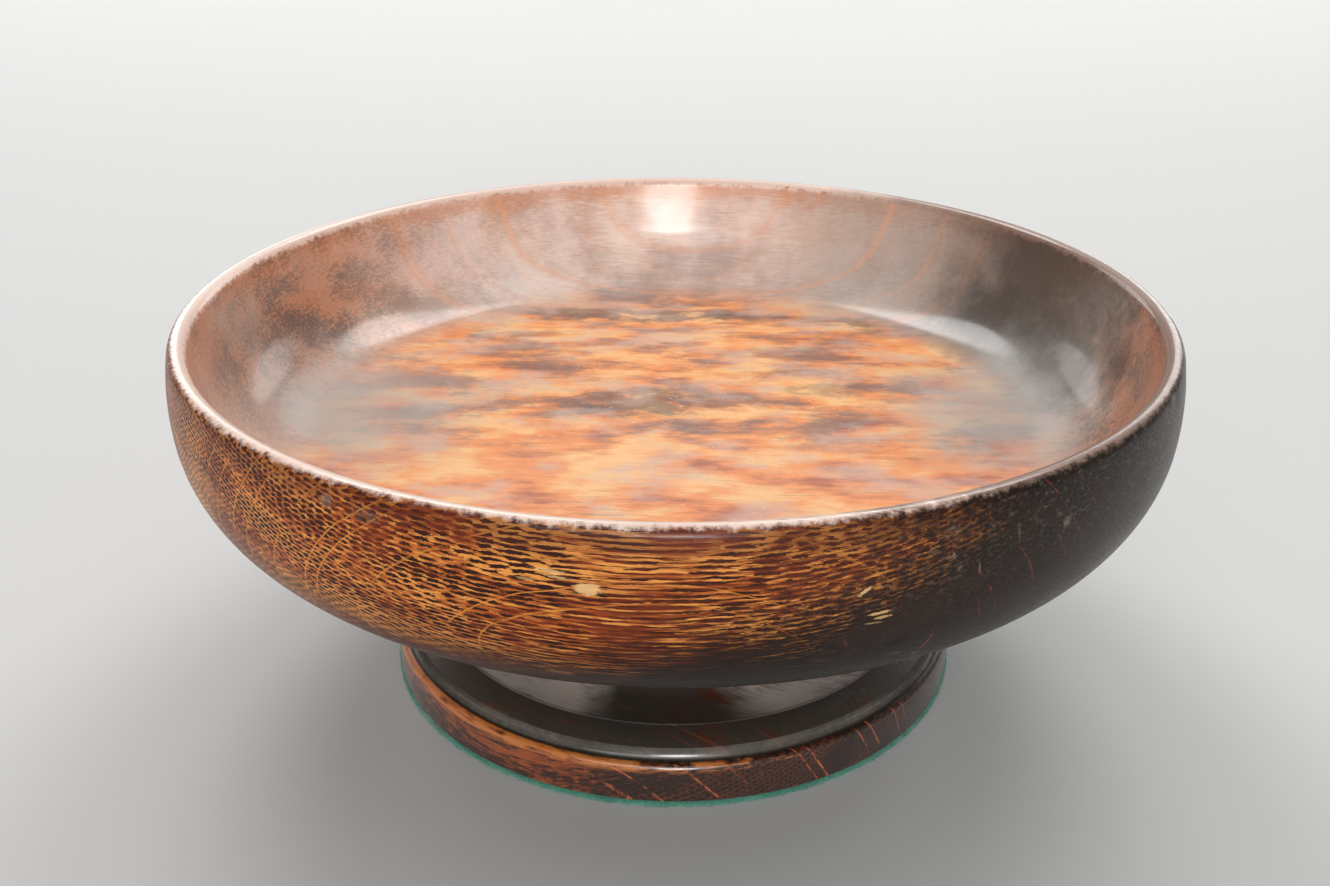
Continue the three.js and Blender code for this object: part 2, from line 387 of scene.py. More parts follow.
# Shader graphs


class Graph:
    """Short names for adding nodes to one material."""

    def __init__(self, name):
        self.material = bpy.data.materials.new(name)
        self.material.use_nodes = True
        self.tree = self.material.node_tree
        self.shader = self.tree.nodes["Principled BSDF"]

    def feed(self, socket, value):
        if isinstance(value, bpy.types.NodeSocket):
            self.tree.links.new(value, socket)
        else:
            socket.default_value = value

    def node(self, kind, inputs=None, **settings):
        made = self.tree.nodes.new("ShaderNode" + kind)
        for name, value in settings.items():
            setattr(made, name, value)
        for name, value in (inputs or {}).items():
            self.feed(made.inputs[name], value)
        return made

    def math(self, operation, *values):
        made = self.node("Math", operation=operation)
        for socket, value in zip(made.inputs, values):
            self.feed(socket, value)
        return made.outputs[0]

    def add(self, *values):
        total = values[0]
        for value in values[1:]:
            total = self.math("ADD", total, value)
        return total

    def times(self, *values):
        total = values[0]
        for value in values[1:]:
            total = self.math("MULTIPLY", total, value)
        return total

    def less(self, first, second):
        return self.math("SUBTRACT", first, second)

    def invert(self, value):
        return self.math("SUBTRACT", 1, value)

    def both(self, first, second):
        return self.math("MAXIMUM", first, second)

    def step(self, value, start, end):
        """0 before start and 1 past end, with a smooth rise between. start may be the larger."""
        inputs = {"Value": value, "From Min": start, "From Max": end}
        return self.node("MapRange", inputs, interpolation_type="SMOOTHSTEP").outputs["Result"]

    def between(self, value, span, until):
        """1 between two places, each with the soft edge that its span gives."""
        return self.times(self.step(value, *span), self.step(value, *until))

    def spread(self, value, low, high):
        """A value of 0 to 1 spread over low to high."""
        return self.node("MapRange", {"Value": value, "To Min": low, "To Max": high}).outputs["Result"]

    def vector(self, x=0, y=0, z=0):
        return self.node("CombineXYZ", {"X": x, "Y": y, "Z": z}).outputs["Vector"]

    def parts(self, vector):
        """The three coordinates of a vector."""
        return tuple(self.dot(vector, axis) for axis in ((1, 0, 0), (0, 1, 0), (0, 0, 1)))

    def dot(self, vector, direction):
        made = self.node("VectorMath", operation="DOT_PRODUCT")
        self.feed(made.inputs[0], vector)
        self.feed(made.inputs[1], direction)
        return made.outputs["Value"]

    def scaled(self, vector, factor):
        made = self.node("VectorMath", {"Scale": factor}, operation="SCALE")
        self.feed(made.inputs[0], vector)
        return made.outputs["Vector"]

    def noise(self, vector, detail=2, roughness=0.5, distortion=0):
        """Noise about nought, from about -0.5 to 0.5, with features about one unit of vector across."""
        inputs = {
            "Vector": vector,
            "Scale": 1,
            "Detail": detail,
            "Roughness": roughness,
            "Distortion": distortion,
        }
        return self.less(self.node("TexNoise", inputs).outputs["Fac"], 0.5)

    def fleck(self, places, sizes, detail=2, roughness=0.5):
        """Noise whose features have these sizes, in millimetres, along up to three places."""
        shares = [self.times(place, 1 / size) for place, size in zip(places, sizes)]
        return self.noise(self.vector(*shares), detail, roughness)

    def random(self, value):
        """A steady random number from 0 to 1 for each whole value."""
        return self.node("TexWhiteNoise", {"W": value}, noise_dimensions="1D").outputs["Value"]

    def mix(self, share, first, second, blend="MIX"):
        made = self.node("Mix", data_type="RGBA", blend_type=blend)
        self.feed(made.inputs[0], share)
        self.feed(made.inputs[6], first)
        self.feed(made.inputs[7], second)
        return made.outputs[2]

    def lay(self, base, mask, share, colour):
        """The colour base, with another laid over it at this share where mask is 1."""
        return self.mix(self.times(mask, share), base, colour)

    def bump(self, height, distance):
        """A bump of this height in millimetres times height's value."""
        inputs = {"Height": height, "Distance": distance * MM, "Strength": 1}
        return self.node("Bump", inputs).outputs["Normal"]

    def finish(self, **sockets):
        for name, value in sockets.items():
            self.feed(self.shader.inputs[name.replace("_", " ").title().replace("Ior", "IOR")], value)
        return self.material


def paint(red, green, blue):
    """A colour from screen values of 0 to 255."""
    shares = [value / 255 for value in (red, green, blue)]
    return (*[s / 12.92 if s <= 0.04045 else ((s + 0.055) / 1.055) ** 2.4 for s in shares], 1)


# Oak

# How sharply the pores and the fine lines start in their noise fields, how the one broad ray fades
# and shows, and how far apart along the fibres the pieces of wood are taken
PORE_EDGE = (0.29, 0.37)
LINE_EDGE = (0.14, 0.26)
MAIN_RAY_EDGE = (0.9, 0.2)
MAIN_RAY_SHARE = 0.55
PIECE_SPACING = 97


class Oak:
    """Solid oak in a graph: rings of dark pores that rays cut into dashes, drawn out along the fibres.

    The pith runs along the fibres at (across, up) from the origin, in millimetres. dash is the pitch of
    the dashes along a ring, and ray the pitch of the pale rays, both measured at the height level.
    main_ray is the place round the rings of one broad ray, and ray_width half the width of the others.
    """

    def __init__(self, g, fibre_angle, pith, level, ring, dash, ray, ray_width, main_ray, seed):
        self.g = g
        turn = math.radians(fibre_angle)
        self.mm = g.scaled(g.node("TexCoord").outputs["Object"], 1 / MM)
        along = g.add(g.dot(self.mm, (math.cos(turn), math.sin(turn), 0)), seed * PIECE_SPACING)
        across = g.dot(self.mm, (-math.sin(turn), math.cos(turn), 0))
        up = g.dot(self.mm, (0, 0, 1))

        # The fibres wander, which bends the rings
        block = (across, up, along)
        bend = g.times(g.fleck(block, (42, 42, 95)), 3)
        wave = g.times(g.fleck(block, (13, 13, 45)), 1.5)
        ripple = g.times(g.fleck(block, (3, 3, 14)), 0.5)
        rise = g.add(up, -pith[1], bend, wave, ripple)
        drift = g.times(g.fleck(block, (36, 60, 90)), 3)
        side = g.add(across, -pith[0], drift)
        radius = g.math("SQRT", g.add(g.times(rise, rise), g.times(side, side)))
        around = g.times(g.math("ARCTAN2", side, rise), math.hypot(pith[0], level - pith[1]))
        wood = (around, radius, along)
        self.around = around

        # Rings of uneven width, and how near each point is to the middle of its ring
        uneven = g.add(g.times(g.fleck((radius,), (16,)), 1.6), g.times(g.fleck((radius,), (5,)), 0.8))
        rings = g.add(g.times(radius, 1 / ring), uneven)
        index = g.math("FLOOR", rings)
        band = g.invert(g.math("ABSOLUTE", g.less(g.times(g.math("FRACT", rings), 2), 1)))

        # Pores in dashes, staggered from ring to ring, and finer lines of pores
        swerve = g.times(g.fleck(wood, (6, 4, 50)), 1.8)
        shift = g.add(g.times(index, 0.5), g.times(g.random(index), 0.25), swerve)
        stagger = g.math("COSINE", g.times(g.add(g.times(around, 1 / dash), shift), 2 * math.pi))
        ragged = g.fleck(wood, (0.6, 0.4, 8), 4, 0.7)
        self.fine = g.fleck(wood, (0.28, 0.28, 4))
        patches = g.fleck(wood, (13, 6, 55))
        field = g.add(
            g.times(band, 0.5),
            g.times(stagger, 0.17),
            g.times(ragged, 0.95),
            g.times(self.fine, 0.7),
            g.times(patches, 0.5),
            g.times(g.random(g.add(index, 0.5)), 0.12),
        )
        self.pores = g.step(field, *PORE_EDGE)
        lines = g.fleck(wood, (0.55, 0.35, 14), 2)
        field = g.add(g.times(band, 0.1), g.times(lines, 0.9), g.times(patches, 0.4))
        self.lines = g.step(field, *LINE_EDGE)

        # Rays at the given pitch, some wider than others and some broken off, and the one broad ray
        bowed = g.times(g.fleck((along, radius), (30, 26)), 0.25)
        rays = g.add(g.times(g.less(around, main_ray), 1 / ray), bowed)
        number = g.math("ROUND", rays)
        gap = g.math("ABSOLUTE", g.add(g.less(rays, number), g.times(g.less(g.random(number), 0.5), 0.7)))
        broad = g.times(g.add(0.6, g.times(g.random(g.add(number, 0.5)), 0.8)), ray_width / ray)
        shown = g.step(g.fleck((number, radius, along), (0.14, 26, 34)), -0.12, 0)
        fleck_rays = g.times(g.step(gap, broad, g.times(broad, 0.4)), shown)
        main_gap = g.math("ABSOLUTE", g.less(around, main_ray))
        main_gap = g.add(main_gap, g.times(ragged, 0.8), g.times(patches, 1.2))
        self.rays = g.both(fleck_rays, g.times(g.step(main_gap, *MAIN_RAY_EDGE), MAIN_RAY_SHARE))

        self.tone = g.fleck(wood, (22, 10, 70), 3)
        self.streaks = g.fleck(wood, (1.4, 0.7, 11))

    def colour(self, pale, mid, deep, dark, ray):
        """The wood's colour, with the pores in dark and the rays in ray."""
        g = self.g
        light = g.add(self.tone, self.streaks)
        wood = g.mix(g.step(light, -0.14, 0.1), pale, mid)
        wood = g.mix(g.step(light, 0.06, 0.26), wood, deep)
        wood = g.lay(wood, g.step(self.fine, 0.06, 0.18), 0.45, deep)
        wood = g.mix(self.pores, wood, dark)
        return g.lay(wood, self.rays, 0.85, ray)


class Places:
    """Where each point of a turned piece lies, and noise that breaks up edges, as sockets of its graph.

    way is in degrees round the axis from the front, with the right as 90, and radius is the distance
    from the axis.
    """

    def __init__(self, g, mm, cloud_size, grit_size):
        self.x, self.y, self.height = g.parts(mm)
        self.on_floor = (self.x, self.y)
        self.in_wood = (self.x, self.y, self.height)
        self.way = g.times(g.math("ARCTAN2", self.x, g.times(self.y, -1)), 180 / math.pi)
        self.radius = g.math("SQRT", g.add(g.times(self.x, self.x), g.times(self.y, self.y)))
        self.cloud = g.noise(g.scaled(mm, 1 / cloud_size), 4, 0.6)
        self.grit = g.noise(g.scaled(mm, 1 / grit_size), 4, 0.7)


# Marks: place, level, length, width, lean in degrees and strength. On the outside of the bowl the
# place is the distance round the wall from the front, and on the floor they are x and y. A mark fades
# over MARK_EDGE, in half lengths and half widths from its middle
WORN_SPOTS = (
    (-18.3, 105.8, 6.5, 3.2, 2, 1),
    (-26.7, 109.4, 8, 1.1, -5, 0.8),
    (-24.6, 108, 6, 0.8, -4, 0.7),
    (-32.7, 107, 5, 0.7, -6, 0.5),
    (42.4, 102.8, 4, 1.1, 33, 0.9),
    (46.3, 96.4, 6.5, 0.8, 4, 0.8),
    (47.4, 95.1, 5, 0.7, 2, 0.7),
    (45.3, 93.8, 4, 0.5, -3, 0.4),
)
DUSTY_SPOTS = (
    (-83.3, 115.4, 4, 3.5, 0, 0.7),
    (-71.5, 114.4, 9, 3.5, 0, 0.4),
    (63.6, 107.5, 3, 2, 0, 0.8),
    (62.6, 113.4, 6, 2.4, 0, 0.5),
    (65.5, 104, 3, 1.4, 20, 0.5),
    (71.7, 102.5, 4, 0.5, 100, 0.7),
    (82.7, 108.3, 4.5, 0.6, 96, 0.6),
    (98.7, 107, 3.4, 3, 30, 0.7),
    (102.6, 108.5, 3, 1.2, 30, 0.6),
    (101.8, 97.4, 1.6, 1.4, 0, 0.9),
    (61.3, 78.6, 3, 1.6, -10, 0.6),
    (54.5, 80.7, 7, 1.4, -10, 0.3),
)
FLOOR_PATCHES = (
    (-12, 13, 52, 24, 6, 0.9),
    (14, 14, 30, 13, -4, 0.8),
    (-14, 97, 100, 15, -2, 1),
    (58, 90, 60, 9, -12, 0.7),
    (-60, 74, 40, 8, 8, 0.6),
    (34, 58, 46, 10, 3, 0.5),
    (-46, 44, 40, 8, -3, 0.5),
    (52, 24, 34, 12, 6, 0.5),
)
MARK_EDGE = (1.15, 0.7)

# Where the looks of the bowl's outside start and are full: in degrees from the front, or in
# millimetres down from the rim
FRONT_LINES = (-44, 6)
DULL_FRONT = (-14, 20)
STAIN_EDGE = (4, 30)
STAIN_STROKES = (50, 32)
BACK_FADE = (165, 125)
# Painted shade: the lower outside wall and the underside are darkened
SHADED_UNDERSIDE = (26, 50)
GRIMY_TOP = (11, 4)
SCRAPED_TOP = (34, 8)
NICKED_TOP = (34, 6)

# How far down the stain's edge starts to lean, by how many degrees a millimetre, and the length of a
# degree of the wall
STAIN_LEAN_BELOW = 12
STAIN_LEAN = 0.85
WALL_PER_DEGREE = 2.6

# The same for the inside, where distances from the rim are below nought, and for x, y and the distance
# from the axis on the floor. Two spans are for the two ends of a stretch
FRONT_FLOOR = (-10, -50)
BROWNED_FLOOR = (-40, -8)
GLOWING_FLOOR = (-60, 10)
INSIDE_WALL = (-62, -42)
NEAR_WALL = (88, 56)
WARM_TOP = (-13, -5)
GREYED_WALL = ((168, 148), (60, 80))
BANDED_WALL = (116, 138)
ORANGE_LEFT = ((-66, -88), (-146, -112))
ORANGE_RIGHT = ((62, 76), (104, 90))
SHADED_WALL = ((84, 98), (142, 118))
SPECKLED_FLOOR = (96, 40)

# The middle of the dust and painted sheen at the right of the floor, how much of its depth counts, and its
# edge
VEIL_MIDDLE = (104, 6)
VEIL_BACK_SHARE = 0.8
VEIL_EDGE = (50, 8)

# Where the outside and the inside start, and how near the top of the rim it is rubbed paler with a painted
# highlight, and glossy
OUTSIDE_FROM = (1, 4)
INSIDE_FROM = (-1, -4)
RUBBED_AND_HIGHLIT_RIM = (3.6, 1.6)
RIM_GLOSS = (5, 1)


def marked(g, across, height, spots, rough):
    """How strongly each point is in one of the spots, from 0 to 1, with ragged edges."""
    shown = 0
    for place, level, length, width, lean, strength in spots:
        turn = math.radians(lean)
        cosine, sine = math.cos(turn), math.sin(turn)
        beside = g.less(across, place)
        above = g.less(height, level)
        along = g.add(g.times(beside, 2 * cosine / length), g.times(above, 2 * sine / length))
        over = g.add(g.times(above, 2 * cosine / width), g.times(beside, -2 * sine / width))
        gap = g.math("SQRT", g.add(g.times(along, along), g.times(over, over)))
        spot = g.times(g.step(g.add(gap, rough), *MARK_EDGE), strength)
        shown = g.both(shown, spot)
    return shown


def outside_wood(g, oak, at, from_rim):
    """The outside's colour, with painted shade on the lower wall, and how strongly the dark stain shows: it
    covers the right of the bowl.
    """
    way, cloud, grit = at.way, at.cloud, at.grit
    skin = oak.colour(
        pale=paint(232, 152, 74),
        mid=paint(182, 94, 36),
        deep=paint(120, 48, 17),
        dark=paint(48, 17, 5),
        ray=paint(222, 140, 58),
    )
    not_back = g.step(way, *BACK_FADE)
    front = g.times(g.step(g.add(way, g.times(cloud, 60)), *FRONT_LINES), not_back)
    skin = g.lay(skin, g.times(front, oak.lines), 0.8, paint(52, 20, 9))
    duller = g.step(g.add(way, g.times(cloud, 40), g.times(oak.streaks, 60)), *DULL_FRONT)
    skin = g.lay(skin, g.times(duller, not_back), 0.62, paint(106, 44, 21))
    reddish = g.step(g.add(cloud, g.times(oak.streaks, 0.5), g.times(front, 0.12)), 0.02, 0.2)
    skin = g.lay(skin, reddish, 0.5, paint(146, 58, 24))
    # Painted shade: the lower wall and the underside are darkened towards the bottom
    shaded_under = g.step(g.add(from_rim, g.times(cloud, 20)), *SHADED_UNDERSIDE)
    skin = g.lay(skin, shaded_under, 0.76, paint(50, 27, 19))
    grimy = g.step(g.add(from_rim, g.times(cloud, 10), g.times(grit, 8)), *GRIMY_TOP)
    skin = g.lay(skin, grimy, 0.5, paint(82, 36, 26))

    # The stain has a ragged start, which leans to the left further down
    lower = g.times(g.both(g.less(from_rim, STAIN_LEAN_BELOW), 0), STAIN_LEAN)
    ragged = g.add(g.times(cloud, 26), g.times(grit, 22), g.times(oak.streaks, 34), g.times(oak.fine, 16))
    stain = g.step(g.add(way, lower, ragged), *STAIN_EDGE)
    stain = g.times(stain, g.step(g.add(way, g.times(cloud, 50)), *BACK_FADE))
    dark_wood = g.mix(g.step(g.add(oak.tone, grit), -0.1, 0.22), paint(22, 20, 17), paint(38, 30, 25))
    strokes = g.times(oak.rays, g.step(g.add(grit, cloud), -0.02, 0.12))
    strokes = g.times(strokes, g.spread(g.step(way, *STAIN_STROKES), 0.15, 0.7))
    dark_wood = g.mix(strokes, dark_wood, paint(140, 62, 36))
    skin = g.lay(skin, stain, 0.96, dark_wood)
    scraped = g.step(g.fleck((g.times(way, WALL_PER_DEGREE), at.height), (2.6, 1.6), 5, 0.75), 0.03, 0.15)
    upper = g.step(g.add(from_rim, g.times(cloud, 30)), *SCRAPED_TOP)
    return g.lay(skin, g.times(scraped, stain, upper), 0.55, paint(104, 96, 86)), stain


def floor_wood(g, oak, at):
    """The colour of the bowl's floor: blotched orange, with brown clouds, glowing spots, grey marks and a
    painted milky sheen.
    """
    x, y, cloud = at.x, at.y, at.cloud
    blotch = g.add(g.fleck(at.on_floor, (38, 17), 5, 0.62), g.times(cloud, 0.35))
    grain = g.add(g.times(blotch, 1.25), g.times(oak.streaks, 0.12))
    floor = g.mix(g.step(grain, -0.16, 0.04), paint(252, 194, 128), paint(244, 148, 76))
    floor = g.mix(g.step(grain, 0.02, 0.2), floor, paint(190, 98, 58))
    front = g.step(g.add(y, g.times(cloud, 40)), *FRONT_FLOOR)
    floor = g.lay(floor, oak.lines, g.spread(front, 0.08, 0.4), paint(136, 76, 52))
    floor = g.lay(floor, oak.rays, 0.6, paint(254, 186, 122))
    smear = g.add(g.times(g.fleck(at.on_floor, (20, 11), 5, 0.66), 2.6), g.times(oak.streaks, 0.4))
    patchy = g.add(g.fleck(at.on_floor, (34, 17), 5, 0.66), g.times(oak.streaks, 0.06))
    browned = g.times(g.step(patchy, -0.04, 0.12), g.step(g.add(y, g.times(cloud, 30)), *BROWNED_FLOOR))
    floor = g.lay(floor, browned, 0.78, paint(132, 102, 90))
    glowing = g.times(g.step(patchy, -0.08, -0.18), g.step(y, *GLOWING_FLOOR))
    floor = g.lay(floor, glowing, 0.6, paint(250, 138, 62))
    broken = g.step(g.fleck(at.on_floor, (12, 7), 4, 0.6), 0.2, -0.02)
    sooty = g.times(marked(g, x, y, FLOOR_PATCHES, smear), broken)
    floor = g.lay(floor, sooty, 0.8, paint(98, 78, 70))
    # Painted sheen: a milky pale layer in clouds over the floor stands in for reflection
    painted_sheen = g.step(g.fleck(at.in_wood, (26, 16, 18), 4, 0.6), -0.04, 0.16)
    return g.lay(floor, painted_sheen, 0.55, paint(208, 182, 168))


def inside_wall(g, oak, at, from_rim, floor):
    """The floor's colour with the inside wall's laid over it, which changes on its way round. The wall's pale
    pink is painted glare over brown oak.
    """
    way, cloud, grit = at.way, at.cloud, at.grit
    wall = g.step(g.add(from_rim, g.times(cloud, 10)), *INSIDE_WALL)
    uneven = g.step(g.add(cloud, g.times(oak.streaks, 0.3)), -0.2, 0.22)
    # Painted glare: this pale pinkish colour stands in for the reflection on darker brown oak
    brown = g.mix(uneven, paint(250, 234, 226), paint(202, 180, 168))
    near = g.step(g.add(g.math("ABSOLUTE", way), g.times(cloud, 20)), *NEAR_WALL)
    near_brown = g.mix(g.step(oak.streaks, -0.1, 0.12), paint(196, 134, 92), paint(150, 92, 60))
    inner = g.lay(floor, wall, 0.82, g.lay(brown, near, 0.75, near_brown))
    warm_top = g.step(g.add(from_rim, g.times(cloud, 14), g.times(oak.streaks, 10)), *WARM_TOP)
    inner = g.lay(inner, warm_top, 0.45, paint(220, 142, 92))
    back, front = GREYED_WALL
    greyed = g.times(wall, g.step(g.add(way, g.times(cloud, 24)), *back), g.step(way, *front))
    inner = g.lay(inner, greyed, 0.55, paint(158, 150, 142))
    inner = g.lay(inner, g.times(wall, oak.rays), 0.3, paint(246, 170, 116))
    bands = g.step(g.fleck((oak.around,), (7,), 3, 0.6), 0.02, 0.14)
    bands = g.times(bands, wall, g.step(g.math("ABSOLUTE", way), *BANDED_WALL))
    inner = g.lay(inner, bands, 0.35, paint(246, 176, 130))

    front, back = ORANGE_LEFT
    left = g.times(wall, g.step(g.add(way, g.times(cloud, 36)), *front), g.step(way, *back))
    front, back = ORANGE_RIGHT
    right = g.times(wall, g.step(way, *front), g.step(g.add(way, g.times(cloud, 20)), *back))
    uneven = g.add(g.times(cloud, 0.8), oak.tone, g.times(oak.streaks, 0.9))
    orange = g.mix(g.step(uneven, -0.16, 0.24), paint(196, 118, 64), paint(84, 58, 44))
    inner = g.lay(inner, g.both(left, right), 0.75, orange)
    ragged_way = g.add(way, g.times(cloud, 34), g.times(grit, 6))
    shaded = g.between(ragged_way, *SHADED_WALL)
    return g.lay(inner, g.times(wall, shaded), 0.88, paint(66, 58, 50))


def dust_and_painted_sheen(g, at):
    """How thick the grey dust and painted sheen lie at both sides of the floor, from 0 to 1."""
    side, depth = VEIL_MIDDLE
    aside = g.less(g.math("ABSOLUTE", at.x), side)
    back = g.times(g.less(at.y, depth), VEIL_BACK_SHARE)
    off = g.math("SQRT", g.add(g.times(aside, aside), g.times(back, back)))
    return g.step(g.add(off, g.times(at.cloud, 50), g.times(at.grit, 14)), *VEIL_EDGE)


def bowl_finish():
    g = Graph("bowl_oak")
    oak = Oak(
        g,
        fibre_angle=-3,
        pith=(80, -378),
        level=92,
        ring=1.16,
        dash=1.5,
        ray=5,
        ray_width=0.13,
        main_ray=55.6,
        seed=1,
    )
    at = Places(g, oak.mm, cloud_size=26, grit_size=2.4)
    cloud, grit, height = at.cloud, at.grit, at.height
    from_rim = g.node("Attribute", attribute_name="from_rim").outputs["Fac"]
    outside = g.step(from_rim, *OUTSIDE_FROM)
    inside = g.step(from_rim, *INSIDE_FROM)

    skin, stain = outside_wood(g, oak, at, from_rim)
    inner = inside_wall(g, oak, at, from_rim, floor_wood(g, oak, at))
    # Grey dust, with a painted sheen, at both sides of the floor
    veil = g.times(dust_and_painted_sheen(g, at), inside)
    inner = g.lay(inner, veil, 0.78, paint(176, 172, 166))
    specks = g.step(g.fleck(at.in_wood, (1.1, 1.1, 1.1)), 0.21, 0.25)
    specks = g.times(specks, g.step(at.radius, *SPECKLED_FLOOR))
    inner = g.lay(inner, specks, 0.75, paint(250, 236, 216))
    wood = g.mix(inside, skin, inner)

    # The rim is rubbed paler, and the pale colour is also a painted highlight
    off_rim = g.math("ABSOLUTE", g.add(from_rim, 0.6))
    rubbed_and_highlit = g.step(g.add(off_rim, g.times(grit, 5), g.times(cloud, 2.4)), *RUBBED_AND_HIGHLIT_RIM)
    wood = g.lay(wood, rubbed_and_highlit, 0.84, g.mix(stain, paint(254, 226, 210), paint(154, 124, 108)))

    # Worn and dusty spots, and small nicks
    rough = g.add(g.times(grit, 1.6), g.times(oak.fine, 1.2))
    round_wall = g.times(at.way, millimetres("bowl")[1].x * math.radians(1))
    worn = g.times(marked(g, round_wall, height, WORN_SPOTS, rough), outside)
    wood = g.lay(wood, worn, 0.85, paint(236, 190, 130))
    dusty = g.times(marked(g, round_wall, height, DUSTY_SPOTS, rough), outside)
    wood = g.lay(wood, g.times(dusty, g.step(grit, -0.12, 0.1)), 0.65, paint(150, 138, 124))
    dots = g.step(g.fleck(at.in_wood, (1.1, 1.1, 0.6)), 0.22, 0.27)
    leaning = (g.add(round_wall, g.times(height, 0.5)), height)
    scratches = g.times(g.step(g.fleck(leaning, (0.5, 2.6)), 0.17, 0.24), stain)
    nicks = g.times(g.both(dots, scratches), outside, g.step(from_rim, *NICKED_TOP))
    wood = g.lay(wood, g.times(nicks, g.step(cloud, -0.1, 0.1)), 0.6, paint(146, 130, 114))

    worn_grain = g.add(g.times(oak.pores, outside, -0.7), g.times(grit, 0.5), g.times(oak.fine, 0.5))
    return g.finish(
        base_color=wood,
        roughness=g.add(0.34, g.times(oak.pores, 0.08), g.times(grit, 0.16), g.times(veil, 0.12)),
        normal=g.bump(g.add(worn_grain, g.times(rubbed_and_highlit, grit, 2)), 0.045),
        specular_ior_level=0.14,
        coat_weight=g.spread(g.step(from_rim, *RIM_GLOSS), 0.12, 0.6),
        coat_roughness=0.15,
    )


# Where the looks of the foot start and are full: in millimetres in from its edge, in millimetres from
# the axis, or in degrees from the front
MOULDINGS = (1.6, 2.8)
# Painted highlight ring on the step
STEP_HIGHLIGHT_RING = ((5.4, 4.9), (3, 3.4))
FOOT_HOLLOW = ((78, 75.6), (50, 60))
# Painted highlights in the hollow, at its left and right
LEFT_HOLLOW_HIGHLIGHT = ((-58, -48), (-14, -26))
RIGHT_HOLLOW_HIGHLIGHT = ((12, 24), (58, 46))
RUBBED_BAND = ((77.6, 78.6), (84, 82))
RUBBED_BAND_WAY = ((-70, -54), (-16, -30))
OUTER_EDGE = (2.4, 1.2)
ORANGE_EDGE = (0, -34)
EDGE_BACK_FADE = (-170, -130)
CORNER = (2.2, 1.4)
CORNER_BELOW = (3.2, 1.4)
RUBBED_CORNER_WAY = (50, -20)
FEWER_RAYS_FROM = (30, 60)


def foot_finish():
    g = Graph("foot_oak")
    oak = Oak(
        g,
        fibre_angle=-35,
        pith=(115, -270),
        level=12,
        ring=1.4,
        dash=1.3,
        ray=6,
        ray_width=0.34,
        main_ray=-60,
        seed=2,
    )
    at = Places(g, oak.mm, cloud_size=22, grit_size=2.2)
    way, radius, cloud, grit = at.way, at.radius, at.cloud, at.grit
    low, high = millimetres("foot")

    def inwards(span):
        """A span in from the foot's edge, as distances from the axis."""
        return tuple(high.x - inset for inset in span)

    oak.rays = g.times(oak.rays, g.step(g.add(grit, g.times(cloud, 1.4)), -0.06, 0.1))
    oak.rays = g.times(oak.rays, g.spread(g.step(way, *FEWER_RAYS_FROM), 1, 0.4))
    wood = oak.colour(
        pale=paint(98, 52, 34),
        mid=paint(68, 40, 30),
        deep=paint(52, 34, 28),
        dark=paint(40, 27, 22),
        ray=paint(206, 108, 62),
    )

    # The mouldings and the hollow are darker and cleaner than the edge, with a painted highlight ring on the
    # step
    uneven = g.step(g.add(cloud, g.times(oak.streaks, 0.5)), 0.08, 0.28)
    dull = g.mix(uneven, paint(74, 68, 60), paint(104, 52, 34))
    wood = g.lay(wood, g.step(radius, *inwards(MOULDINGS)), 0.82, dull)
    # Painted highlight: a pale grey ring along the step
    ring = g.times(g.between(radius, *map(inwards, STEP_HIGHLIGHT_RING)), g.step(g.add(cloud, grit), -0.3, 0.3))
    wood = g.lay(wood, ring, 0.4, paint(128, 124, 114))

    # Painted highlights in the hollow, at both sides of the waist, and a rubbed band at the left
    swept = g.add(way, g.times(cloud, 16))
    beside = g.both(g.between(swept, *LEFT_HOLLOW_HIGHLIGHT), g.between(swept, *RIGHT_HOLLOW_HIGHLIGHT))
    thick = g.step(g.add(cloud, g.times(oak.streaks, 0.4)), 0.3, -0.1)
    # Painted highlight: near-white patches stand in for reflections in the hollow
    wood = g.lay(wood, g.times(g.between(radius, *FOOT_HOLLOW), beside, thick), 0.85, paint(246, 228, 216))
    band = g.times(g.between(radius, *RUBBED_BAND), g.between(swept, *RUBBED_BAND_WAY))
    band = g.times(band, g.step(g.add(oak.streaks, oak.tone), -0.1, 0.1))
    wood = g.lay(wood, band, 0.7, paint(128, 66, 44))

    # The edge is orange on the left, and its upper corner is rubbed further round
    round_edge = g.times(way, high.x * math.radians(1))
    scuffs = g.fleck((round_edge, at.height), (9, 1.2), 3, 0.6)
    not_back = g.step(way, *EDGE_BACK_FADE)
    left = g.step(g.add(way, g.times(cloud, 40), g.times(scuffs, 50)), *ORANGE_EDGE)
    left = g.times(g.step(radius, *inwards(OUTER_EDGE)), not_back, left)
    uneven = g.step(g.add(oak.streaks, oak.tone, g.times(grit, 0.6)), -0.16, 0.12)
    wood = g.lay(wood, left, 0.8, g.mix(uneven, paint(184, 92, 42), paint(64, 34, 22)))
    corner_heights = (low.z + EDGE_HEIGHT - below for below in CORNER_BELOW)
    corner = g.times(g.step(radius, *inwards(CORNER)), g.step(at.height, *corner_heights))
    near_left = g.times(not_back, g.step(g.add(way, g.times(cloud, 40)), *RUBBED_CORNER_WAY))
    ragged = g.add(g.times(grit, 0.8), g.times(cloud, 1.6), g.times(scuffs, 3), near_left)
    wood = g.lay(wood, g.times(corner, g.step(ragged, 0.5, 1.1)), 0.8, paint(226, 138, 70))

    return g.finish(
        base_color=wood,
        roughness=g.add(0.3, g.times(grit, 0.12), g.times(oak.pores, 0.05)),
        normal=g.bump(g.add(g.times(oak.pores, -0.4), g.times(grit, 0.6)), 0.035),
        coat_weight=0.9,
        coat_roughness=0.14,
    )


